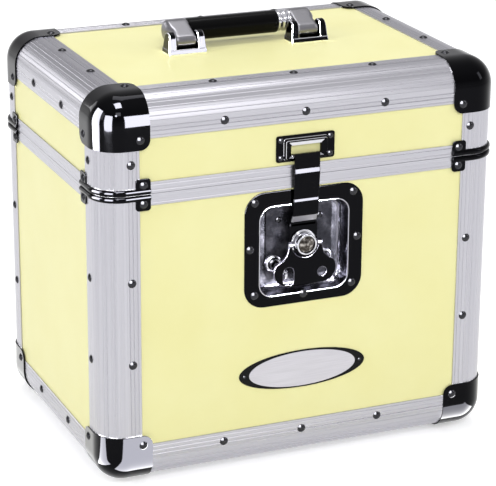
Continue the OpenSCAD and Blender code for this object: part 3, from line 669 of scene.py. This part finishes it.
def hub():
    """Turned profile (out, radius): pivot, shaft, then the cap with a rolled rim, a groove in dull
    near-black plating as painted shade, a low dome in a finish of its own with painted glints, and the rod
    across the shaft that ends in two lugs."""
    a = np.radians(np.linspace(0, 180, 9))
    rim = np.stack([6.9 + 0.9 * np.sin(a), 8.7 + 0.9 * np.cos(a)], -1)
    b = np.linspace(0, 1, 9)
    dome = np.stack([6.6 + 2.3 * np.sin(b * math.pi / 2), 7.2 * (1 - b)], -1)
    turned = [(-12.7, 0), (-12.7, 4), (-10.7, 4), (-10.7, 5), (0.2, 5), (0.2, 9.2), (0.6, 9.6)]
    profile = np.concatenate([turned, rim, [(6.0, 7.8), (6.0, 7.2)], dome])
    verts, faces = standing(profile, 0, HUB_Z, 64)
    rows = len(profile) - 1
    bright, domed, dull = range(3)
    # The groove's dull rows are painted shade, and the dome's pale patches are painted glints
    finish = np.repeat([bright] * (rows - 11) + [dull] * 3 + [domed] * 8, 64)
    lugs, lug_faces = lathe(rounded_end(-10.6, 10.6, 2.6, 0.5), 32)
    verts, faces = joined([(verts, faces), (lugs + [0, -HALF_D - WING_OUT, HUB_Z], lug_faces)])
    return verts, faces, np.concatenate([finish, [bright] * len(lug_faces)])


verts, faces, finish = hub()
piece("latch_hub_turned", verts, faces, [BRIGHT, DOME, DULL], "latch_turner", ["latch_hub"],
      angle=50, finish=finish)


def latch_plate():
    """The plate on the dish's floor, two domed bosses with bright rings under the wing, and two flat
    rivets above it. The profiles are (out, radius) pairs from the plate's face."""
    steps, bright_rows = 40, 6
    plate, faces = slab(rounded_ring(64, 70, 6) + [0, HUB_Z], -DISH_DEPTH, PLATE_OUT)
    a = np.radians(np.linspace(0, 90, 7))
    ring = [(-0.2, 0), (-0.2, 8.2), (0.7, 8.0), (1.7, 7.4), (2.3, 6.5), (2.4, 5.8), (1.9, 5.2)]
    boss = np.concatenate([ring, np.stack([1.9 + 2.0 * np.sin(a), 4.9 * np.cos(a)], -1)])
    rivet = np.concatenate([[(-0.2, 0)], np.stack([1.4 * np.sin(a), 3.0 * np.cos(a)], -1)])
    parts, finish = [(plate, faces)], [0] * len(faces)
    for sx in (-1, 1):
        for profile, x, up, rows in ((boss, 25, -20, bright_rows), (rivet, 20, 20, 0)):
            verts, faces = standing(profile + [PLATE_OUT, 0], sx * x, HUB_Z + up, steps)
            parts.append((verts, faces))
            finish += [1 if k < rows * steps else 2 for k in range(len(faces))]
    return (*joined(parts), finish)


def wing():
    """The wing: a flat bell with a bite for the hub, a padlock slot and a round hole, whose rolled edges
    are quarter circles of radius 0.4. The flank is a quadratic curve from the knuckle to the lobe, and
    the lobe and the bite are arcs. Two barrels hold it on the hub's lugs."""
    rolled = 0.4
    t = np.linspace(0, 1, 12)[:, None]
    start, pull, end = np.array([(16.4, -3.0), (17.0, -13.0), (27.6, -17.1)])
    flank = (1 - t) ** 2 * start + 2 * t * (1 - t) * pull + t ** 2 * end
    side = np.concatenate([[(15.6, -0.8)], flank, arc(17, -25, 13.2, 32, -90, 21)])
    bell = np.concatenate([side, side[::-1] * [-1, 1], arc(0, 0.4, 13.0, 185, 355, 37)])
    slot = np.concatenate([arc(-16.2, -25.5, 5.1, 0, 180, 13), arc(-16.2, -33.0, 5.1, 180, 360, 13)])
    curve = bpy.data.curves.new("wing_outline", "CURVE")
    curve.dimensions, curve.fill_mode = "2D", "BOTH"
    curve.bevel_depth, curve.bevel_resolution, curve.offset = rolled * MM, 3, -rolled * MM
    curve.extrude = (WING_T / 2 - rolled) * MM
    for outline in (bell, slot, arc(16.5, -28, 4.3, 0, 345, 24)):
        spline = curve.splines.new("POLY")
        spline.points.add(len(outline) - 1)
        flat = np.column_stack([outline * MM, np.zeros(len(outline)), np.ones(len(outline))])
        spline.points.foreach_set("co", flat.ravel())
        spline.use_cyclic_u = True
    holder = bpy.data.objects.new("wing_outline", curve)
    mesh = bpy.data.meshes.new_from_object(holder)
    bpy.data.objects.remove(holder)
    bpy.data.curves.remove(curve)
    co = np.zeros(len(mesh.vertices) * 3)
    mesh.vertices.foreach_get("co", co)
    x, z, y = co.reshape(-1, 3).T / MM
    faces = [list(f.vertices) for f in mesh.polygons]
    flat = [abs(f.normal.z) > 0.995 for f in mesh.polygons]
    bpy.data.meshes.remove(mesh)
    barrel, barrel_faces = lathe(rounded_end(11.5, 15.9, 2.8, 0.5), 32)
    parts = [(np.stack([x, -HALF_D - WING_OUT - y, HUB_Z + z], -1), faces)]
    parts += [(barrel * [sx, 1, 1] + [0, -HALF_D - WING_OUT, HUB_Z], barrel_faces) for sx in (-1, 1)]
    # The rolled edges and the barrels take the lighter plating: painted highlights
    finish = [0 if f else 1 for f in flat] + [1] * (2 * len(barrel_faces))
    return (*joined(parts), finish)


verts, faces, finish = wing()
piece("latch_wing_finished", verts, faces, [DARK, PAINTED_SHEEN], "wing", ["latch_wing"], angle=50, finish=finish)
verts, faces, finish = latch_plate()
piece("latch_plate_finished", verts, faces, [ZINC, BRIGHT, RIVET], "base", ["latch_plate"],
      angle=40, finish=finish)


def keeper():
    """Rings (width, height, corner radius, out, centre height, finish to the next): the flat plate, the
    sloped outside of the raised frame, its flat top, and the slope down into the window. The bright bands
    on the frame's slopes, and on the window's slope along its top and bottom only, are painted highlights."""
    dark, bright = 0, 1
    k = KEEPER_Z
    rings = [(56, 24, 2.2, 0.0, k, dark), (56, 24, 2.2, 0.8, k, dark), (55.3, 23.3, 1.9, 1.2, k, dark),
             (42.4, 19.8, 2.6, 1.2, k - 0.5, bright), (41.6, 19.0, 2.4, 1.6, k - 0.5, dark),
             (39.6, 17.0, 1.9, 3.5, k - 0.6, bright), (38.8, 16.3, 1.6, 3.95, k - 0.7, dark),
             (36.4, 14.9, 1.4, 4.0, k - 0.9, dark), (35.8, 14.3, 1.2, 3.7, k - 1.0, bright),
             (29.2, 9.0, 0.9, 2.7, k - 1.5, dark), (28.4, 8.2, 0.8, 0.0, k - 1.5, dark)]
    loops = [on_front(rounded_ring(*ring[:3], 6) + [0, ring[4]], ring[3]) for ring in rings]
    n = len(loops[0])
    faces = [list(f) for f in grid_faces(len(loops), n)]
    last = (len(loops) - 1) * n
    faces += [[last + j, last + (j + 1) % n, (j + 1) % n, j] for j in range(n)]
    inner = [ring[1] for ring in rings].index(14.3)
    finish = [ring[5] for ring in rings for _ in range(n)]
    # Painted highlights on the window's slope, along its top and bottom only
    finish[inner * n:(inner + 1) * n] = [bright if k % 12 in (4, 5) else dark for k in range(n)]
    return piece("keeper_pressing", np.concatenate(loops), faces, [DULL, BRIGHT], "lid", ["keeper"],
                 angle=25, finish=finish)


keeper()


# ---------------------------------------------------------------- badge

BADGE_X, BADGE_Z = 0.3, 91.1


def oval(w, h, z, n=96):
    """An ellipse's outline about the badge's middle."""
    a = np.linspace(0, 2 * math.pi, n, endpoint=False)
    return on_front(np.stack([BADGE_X + w / 2 * np.cos(a), BADGE_Z + h / 2 * np.sin(a)], -1), z)


def stacked_ovals(name, rings, material):
    """Ellipses (width, height, out) joined one to the next and closed at both ends."""
    loops = [oval(*r) for r in rings]
    n = len(loops[0])
    faces = [list(f) for f in grid_faces(len(loops), n)]
    faces += [list(range(n)), [(len(loops) - 1) * n + k for k in range(n)]]
    return piece(name, np.concatenate(loops), faces, material, "base", ["badge_plate"], "badge_enamel", 40)


stacked_ovals("badge_border", [(124, 36, 0.0), (124, 36, 0.5), (123.4, 35.4, 0.8), (105.6, 34.0, 0.8),
                               (105, 33.4, 0.6)], ENAMEL)
stacked_ovals("badge_field", [(104.8, 33.2, 0.3), (104.8, 33.2, 0.78), (104, 32.6, 0.92),
                              (72, 22, 1.0)], PLATE)


# ---------------------------------------------------------------- handle

PIN_Y, PIN_Z = -2.5, 369.8
GRIP_DY, GRIP_DZ, GRIP_R = 21.0, 4.5, 10.4
SLEEVE = (-50.0, 37.8)      # ends of the grip's sleeve along X
BRACKET_X = 60.5

grip, round_faces = lathe(rounded_end(*SLEEVE, GRIP_R, 0.9), 64)
piece("grip_sleeve", grip + [0, PIN_Y + GRIP_DY, PIN_Z + GRIP_DZ], round_faces, GRIP, "handle",
      ["handle_grip"], "black_grip", 60)


def elbow(inner, arm_r=6.0, rounding=6.0):
    """A cast elbow. In side view it is the outline round two circles, a small one about the pin and the
    grip's own: a runs once round it, and s is 0 at the pin and 1 at the grip. Along X the outline stays
    whole up to the rounding and then draws in to its middle line by (1 - u^p)^(1/p), with p from 5 at the
    pin, square, to 2.4 at the grip, rounder. Behind the ears it is 3 mm wider, and its inner rim is
    drawn in a little."""
    reach = math.hypot(GRIP_DY, GRIP_DZ)
    lean = math.asin((GRIP_R - arm_r) / reach)
    low, high = 1.5 * math.pi - lean, 2.5 * math.pi + lean
    steps = np.linspace(0, 1, 11)[1:-1]
    s = np.concatenate([np.zeros(17), steps, np.ones(33), steps[::-1]])
    a = np.concatenate([np.linspace(high - 2 * math.pi, low, 17), np.full(9, low),
                        np.linspace(low, high, 33), np.full(9, high)])
    along = np.array([GRIP_DY, GRIP_DZ]) / reach
    frame_of = np.array([along, [-along[1], along[0]]])
    middle = s[:, None] * reach * np.array([1.0, 0.0]) @ frame_of
    edge = (arm_r + (GRIP_R - arm_r) * s)[:, None] * np.stack([np.cos(a), np.sin(a)], -1) @ frame_of
    outer = 70.6 + 3.0 * np.clip((s - 0.45) / 0.3, 0, 1)
    x = np.concatenate([np.array([0, 0.5, 1.4]) + inner, np.linspace(inner + 3, 70.6 - rounding, 4)])
    x = np.concatenate([np.tile(x[:, None], (1, len(s))),
                        outer - rounding * (1 - np.sin(np.radians(np.linspace(6, 90, 15))))[:, None]])
    u = np.clip((x - outer + rounding) / rounding, 0, 1)
    p = 5.0 - 2.6 * np.minimum(s * 1.3, 1.0)
    scale = np.clip(1 - u ** p, 0, 1) ** (1 / p)
    scale[0] *= 0.93
    scale[1] *= 0.985
    verts = np.concatenate([x[..., None], middle + scale[..., None] * edge], -1)
    return verts.reshape(-1, 3), [list(f) for f in grid_faces(len(x), len(s))] + [list(range(len(s)))]


def ferrule(start, end):
    """The ringed socket of the grip: a profile of round beads, one each 5.4 mm, turned about the grip's
    axis."""
    along = np.linspace(start, end, 41)
    r = 8.2 + 1.5 * np.abs(np.sin((along - start) / 5.4 * math.pi)) ** 0.6
    profile = np.concatenate([[[start, 0.0]], np.stack([along, r], -1), [[end, 0.0]]])
    v, f = lathe(profile, 56)
    return v + [0, GRIP_DY, GRIP_DZ], f


castings, collars = [], []
for sx, end in zip((-1, 1), SLEEVE):
    inner, gap = (51.5, 3.0) if sx < 0 else (50.5, 13.5)
    for group, (v, f) in ((castings, elbow(inner)), (collars, ferrule(abs(end) - 0.5, abs(end) + gap))):
        group.append((v * [sx, 1, 1] + [0, PIN_Y, PIN_Z], f))
piece("handle_end_castings", *joined(castings), SATIN, "handle", ["handle_end_caps"], angle=50)
piece("handle_ferrules", *joined(collars), BRIGHT, "handle", ["handle_end_caps"], angle=60)


def ear(side):
    """One ear of a bracket, about the bracket's middle: the outline of a foot and a round top about the
    pin, seen from the side, with its thickness drawn in by 2 mm towards the top on the outer face."""
    top, high, base = 7.0, 12.2, 8.9
    sides = math.degrees(math.asin((base - top) / high))
    curve = arc(PIN_Y, high, top, sides, 180 - sides, 21)
    outline = np.concatenate([[(PIN_Y - base, 0), (PIN_Y + base, 0)], curve])
    n = len(outline)
    lean = 2.0 * outline[:, 1] / 20
    inside = np.stack([np.full(n, 10.5), outline[:, 0], outline[:, 1]], -1)
    outside = np.stack([18.5 - lean, outline[:, 0], outline[:, 1]], -1)
    faces = [list(f) for f in grid_faces(2, n)] + [list(range(n)), list(range(n, 2 * n))]
    return np.concatenate([inside, outside]) * [side, 1, 1], faces


def foot():
    """The foot plate between the ears, with its front face leaning back a little."""
    y0, y1, h = PIN_Y - 9.5, PIN_Y + 9.2, 4.4
    corners = [(-18.5, y0 - 0.3, 0), (18.5, y0 - 0.3, 0), (18.5, y1, 0), (-18.5, y1, 0),
               (-18.2, y0 + 0.7, h), (18.2, y0 + 0.7, h), (18.2, y1, h), (-18.2, y1, h)]
    walls = [[k, (k + 1) % 4, (k + 1) % 4 + 4, k + 4] for k in range(4)]
    return np.array(corners), [[3, 2, 1, 0], [4, 5, 6, 7]] + walls


for sx in (-1, 1):
    parts = [(v + [sx * BRACKET_X, 0, Z_TOP], f) for v, f in (ear(-1), ear(1), foot())]
    obj = piece(f"handle_bracket_{'left' if sx < 0 else 'right'}", *joined(parts), [DARK, BRIGHT], "lid",
                ["handle_brackets"], angle=30, bevel=0.7)
    # The rounded edges in bright chrome on the dark plating are painted highlights
    obj.modifiers["rounded_edges"].material = 1


# ---------------------------------------------------------------- pressed and turned parts

for node, width in (("padlock_staple", 0.4), ("wing_pin", 0.3), ("handle_pins", 0.4)):
    eased(node, BRIGHT, width)
# The hinge leaves' rounded edges in bright chrome are painted highlights
for node, material, edge in (("hinge_base_leaves", DARK, BRIGHT), ("hinge_lid_leaves", DARK, BRIGHT),
                             ("hinge_pins", BRIGHT, None)):
    eased(node, material, 0.3, edge=edge)
for node in ("base_rivets", "lid_rivets", "dish_rivets", "keeper_rivets", "badge_rivets", "bracket_screws"):
    eased(node, RIVET if "rivets" in node else BRIGHT, 0.25)
for part in ("base", "lid"):
    for side in ("front", "back"):
        eased(f"{part}_rim_{side}", BAR[0], 0.3)
    for side in ("left", "right"):
        eased(f"{part}_rim_{side}", BAR[1], 0.3)
eased("rubber_feet", RUBBER, 0.8)
for node in ("base_lining", "lid_lining"):
    eased(node, FELT, 0.9)
for node, obj in frame["nodes"].items():
    if node.endswith("_panel"):
        obj.data.materials.clear()
        obj.data.materials.append(LAMINATE if node in ("lid_top_panel", "base_bottom_panel") else EDGED)


# ---------------------------------------------------------------- floor, light and camera

PAPER_GLOW = 0.45       # what the floor adds to its own light, so that its paper is white in the picture


def stage_surface(name, verts, faces):
    """A surface of the stage, which is shown but isn't part of the object."""
    mesh = bpy.data.meshes.new(name)
    mesh.from_pydata(verts, [], faces)
    obj = bpy.data.objects.new(name, mesh)
    scene.collection.objects.link(obj)
    return obj


def seen_rays(tree):
    """1 for a camera, glossy or transmission ray, so that the white background shows in metal too."""
    rays = add(tree, "ShaderNodeLightPath").outputs
    seen = rays["Is Camera Ray"]
    for other in ("Is Glossy Ray", "Is Transmission Ray"):
        seen = add(tree, "ShaderNodeMath", [(0, seen), (1, rays[other])], operation="MAXIMUM").outputs[0]
    return seen


floor = stage_surface("floor", [(-14, -14, 0), (14, -14, 0), (14, 14, 0), (-14, 14, 0)], [(0, 1, 2, 3)])
paper = bpy.data.materials.new("white_paper")
paper.use_nodes = True
tree = paper.node_tree
surface = tree.nodes["Principled BSDF"].inputs
surface["Roughness"].default_value = 0.9
surface["Base Color"].default_value = (0.9, 0.9, 0.9, 1)
surface["Emission Color"].default_value = (1, 1, 1, 1)
lit = add(tree, "ShaderNodeMath", [(0, seen_rays(tree))], operation="MULTIPLY")
lit.inputs[1].default_value = PAPER_GLOW
tree.links.new(lit.outputs[0], surface["Emission Strength"])
floor.data.materials.append(paper)

world = bpy.data.worlds.new("studio")
scene.world = world
world.use_nodes = True
tree = world.node_tree
height = add(tree, "ShaderNodeSeparateXYZ", [(0, add(tree, "ShaderNodeTexCoord").outputs["Generated"])])
white = ramp(tree, height.outputs["Z"], [(0.0, "ffffff"), (0.12, "e8e8ea"), (0.3, "b8b7bb"),
                                         (0.55, "cacacd"), (1.0, "fbfbfc")])
backdrop = add(tree, "ShaderNodeBackground", [("Color", white)])
room = tree.nodes["Background"]
room.inputs["Color"].default_value = (0.96, 0.97, 1.0, 1)
room.inputs["Strength"].default_value = 0.5
world_mix = add(tree, "ShaderNodeMixShader", [("Fac", seen_rays(tree)), (1, room.outputs[0]),
                                              (2, backdrop.outputs[0])])
tree.links.new(world_mix.outputs[0], tree.nodes["World Output"].inputs["Surface"])


def softbox(name, at, aim, wide, high, watts):
    """A rectangular lamp at one place, turned to another."""
    data = bpy.data.lights.new(name, "AREA")
    data.shape, data.size, data.size_y, data.energy = "RECTANGLE", wide, high, watts
    obj = bpy.data.objects.new(name, data)
    obj.location = at
    obj.rotation_mode = "QUATERNION"
    obj.rotation_quaternion = (Vector(aim) - Vector(at)).to_track_quat("-Z", "Y")
    scene.collection.objects.link(obj)
    return obj


softbox("key", (-0.6, -2.6, 2.3), (0, 0, 0.2), 1.0, 0.7, 27)
softbox("left", (-2.8, -0.6, 1.5), (0, 0, 0.2), 0.7, 1.2, 17)
softbox("right", (2.4, -1.6, 1.6), (0, 0, 0.2), 0.6, 1.2, 13)
softbox("top", (0.3, 0.6, 2.9), (0, 0, 0.3), 1.2, 0.9, 23)
softbox("back", (-1.7, 2.5, 1.3), (0, 0, 0.2), 0.8, 1.2, 11)


def card(name, at, aim, wide, high, radiance, seen_by):
    """A small lamp that only the parts of one collection mirror, as their crisp highlights. It lights no
    diffuse surface, and the camera doesn't see it."""
    lamp = softbox(name, at, aim, wide, high, radiance * math.pi * wide * high)
    lamp.visible_diffuse = lamp.visible_camera = False
    lamp.light_linking.receiver_collection = seen_by


plating, riveting, barring, lowest = (bpy.data.collections.new(name) for name in (
    "plated_parts", "rivets", "bars", "low_corners"))
lowest.objects.link(scene.objects["base_corner_shells"])
for obj in scene.objects:
    finishes = set(obj.data.materials) if obj.type == "MESH" else set()
    if finishes & {DARK, PAINTED_SHEEN}:
        plating.objects.link(obj)
    if finishes & {RIVET}:
        riveting.objects.link(obj)
    if finishes & set(BAR):
        barring.objects.link(obj)
MIRRORED, SOFT, LOW = 140.0, 2.0, 72.0      # radiance of a card: for plating, satin bars, low corners
for name, at, aim, wide, high, radiance, seen_by in (
        ("card_front", (0.325, -1.34, 0.50), (0.325, 0, 0.50), 0.47, 0.88, MIRRORED, plating),
        ("card_left", (-1.05, 0.10, 0.53), (0, 0.10, 0.53), 0.58, 1.02, MIRRORED, plating),
        ("card_between", (-0.956, -0.773, 0.475), (-0.19, -0.13, 0.40), 0.55, 0.89, MIRRORED, plating),
        ("card_over", (-0.17, -0.52, 1.57), (-0.17, -0.13, 0.35), 0.50, 0.50, MIRRORED, plating),
        ("card_small", (-0.55, -1.17, 1.03), (-0.17, -0.13, 0.35), 0.14, 0.14, MIRRORED, plating),
        ("card_rivets", (-0.62, -1.45, 0.95), (0, -0.13, 0.25), 1.50, 1.50, 26.0, riveting),
        ("card_bars_front", (0.20, -1.34, 0.90), (0.20, 0, 0.50), 0.90, 1.00, SOFT, barring),
        ("card_bars_left", (-1.35, 0.35, 1.00), (0, 0.10, 0.40), 0.90, 1.00, SOFT, barring)):
    card(name, at, aim, wide, high, radiance, seen_by)

# These face up, 1 mm over the floor, where the base's ball corners mirror the paper close by
for name, x, y, wide, high, radiance in (("front", -0.042, -0.44, 0.295, 0.60, LOW),
                                         ("right", 0.165, -0.162, 0.09, 0.055, 30.0),
                                         ("corner", -0.285, -0.122, 0.15, 0.045, LOW),
                                         ("left", -0.445, 0.135, 0.50, 0.47, 1.2)):
    card("card_floor_" + name, (x, y, MM), (x, y, 1), wide, high, radiance, lowest)

PHOTO_W, PHOTO_H = 496, 486
FOCAL, CX, CY = 2230.42, 246.749, 242.888       # in pixels of a picture of that size
EYE = (-0.778283, -1.833939, 0.866644)
cam = bpy.data.objects.new("camera", bpy.data.cameras.new("camera"))
scene.collection.objects.link(cam)
right = Vector((0.920818, -0.389945, 0.006129)).normalized()
ahead = Vector((0.369776, 0.867981, -0.331473)).normalized()
turn = Matrix((right, right.cross(ahead).normalized(), -ahead)).transposed()
cam.matrix_world = Matrix.Translation(EYE) @ turn.to_4x4()
cam.data.sensor_fit = "HORIZONTAL"
cam.data.sensor_width = 36.0
cam.data.lens = 36.0 * FOCAL / PHOTO_W
cam.data.shift_x = (PHOTO_W / 2 - CX) / PHOTO_W
cam.data.shift_y = (CY - PHOTO_H / 2) / PHOTO_W
cam.data.clip_start, cam.data.clip_end = 0.05, 60
scene.camera = cam

scene.view_settings.view_transform = "Standard"
